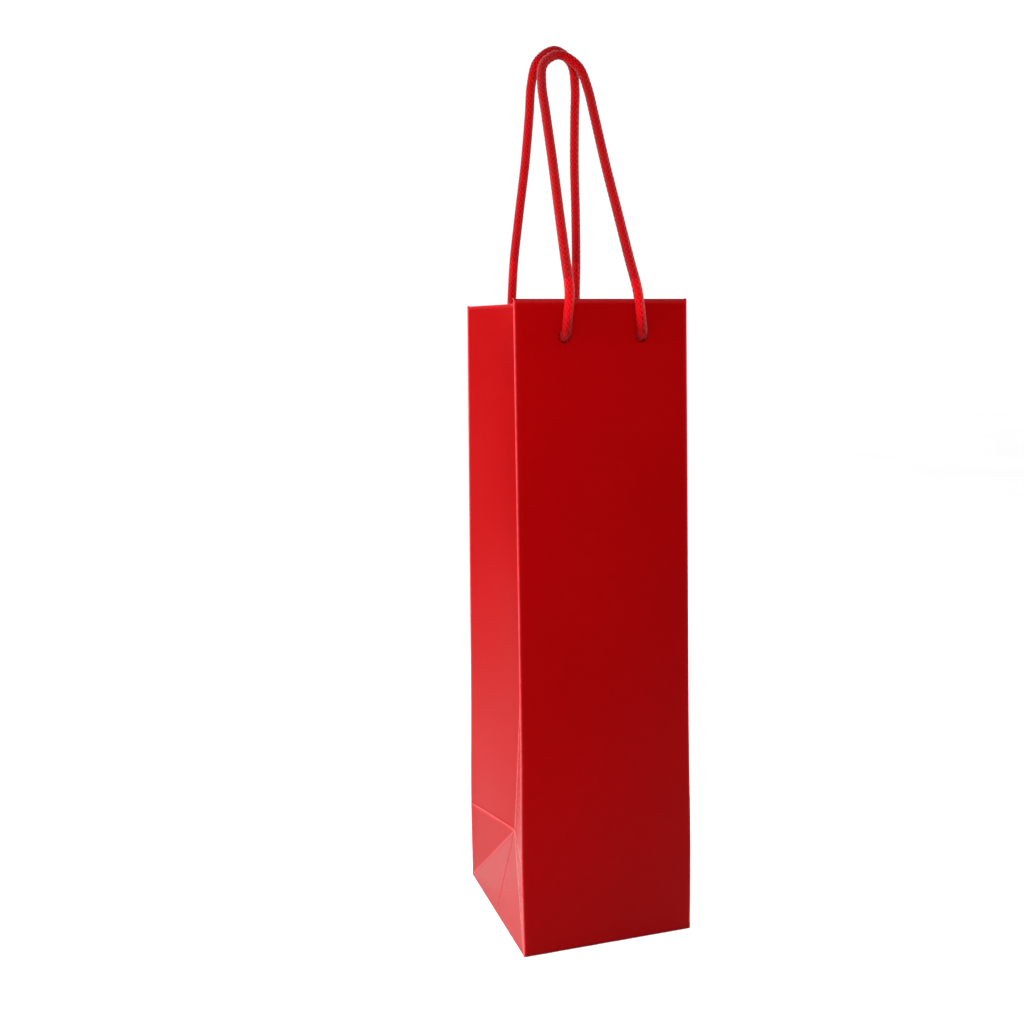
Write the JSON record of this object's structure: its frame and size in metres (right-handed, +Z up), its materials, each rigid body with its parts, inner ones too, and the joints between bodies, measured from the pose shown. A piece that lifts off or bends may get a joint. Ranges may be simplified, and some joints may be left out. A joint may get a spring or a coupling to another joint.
{
  "type": "gift bag",
  "caption": "Tall narrow red paper gift bag for a bottle, with folded side gussets, a block bottom, a turned-in rim and braided cord handles that swing over the mouth.",
  "frame": {"origin": "middle of the base, on the surface that the bag stands on", "axes": "+Z up along the bag's height, -Y out of the front panel, +X to the right seen from the front"},
  "size_m": [0.1, 0.1, 0.502],
  "materials": {
    "bag_paper": "satin laminated outside, uncoated white inside",
    "hem_paper": "satin laminated",
    "card": "uncoated",
    "board": "uncoated grey board",
    "cord": "soft braided"
  },
  "bodies": {
    "bag": {"front_panel": "bag_paper", "back_panel": "bag_paper", "front_hem": "hem_paper", "back_hem": "hem_paper", "front_reinforcement_card": "card", "back_reinforcement_card": "card", "glue_seam_flap": "bag_paper", "bottom_flap_front": "bag_paper", "bottom_flap_back": "bag_paper", "bottom_tuck_left": "bag_paper", "bottom_tuck_right": "bag_paper", "base_board": "board", "front_left_knot": "cord", "front_right_knot": "cord", "back_left_knot": "cord", "back_right_knot": "cord"},
    "left_gusset": {"left_gusset_front_half": "bag_paper", "left_gusset_back_half": "bag_paper", "left_foot_front_facet": "bag_paper", "left_foot_back_facet": "bag_paper", "left_foot_base_facet": "bag_paper", "left_gusset_front_hem": "hem_paper", "left_gusset_back_hem": "hem_paper"},
    "right_gusset": {"right_gusset_front_half": "bag_paper", "right_gusset_back_half": "bag_paper", "right_foot_front_facet": "bag_paper", "right_foot_back_facet": "bag_paper", "right_foot_base_facet": "bag_paper", "right_gusset_front_hem": "hem_paper", "right_gusset_back_hem": "hem_paper"},
    "front_handle": {"front_handle_cord": "cord"},
    "back_handle": {"back_handle_cord": "cord"}
  },
  "joints": [
    {"name": "front_handle_swing", "type": "hinge", "parent": "bag", "child": "front_handle", "pos_m": [0, -0.0469, 0.335], "axis": [1, 0, 0], "range_deg": [0, 175]},
    {"name": "back_handle_swing", "type": "hinge", "parent": "bag", "child": "back_handle", "pos_m": [0, 0.0469, 0.335], "axis": [-1, 0, 0], "range_deg": [0, 175]},
    {"name": "left_gusset_flex", "type": "hinge", "parent": "bag", "child": "left_gusset", "pos_m": [-0.05, 0, 0], "axis": [0, 1, 0], "range_deg": [-3, 1], "stiffness_Nm_per_rad": 0.1, "springref_deg": -0.47},
    {"name": "right_gusset_flex", "type": "hinge", "parent": "bag", "child": "right_gusset", "pos_m": [0.05, 0, 0], "axis": [0, -1, 0], "range_deg": [-3, 1], "stiffness_Nm_per_rad": 0.1, "springref_deg": -0.47}
  ]
}
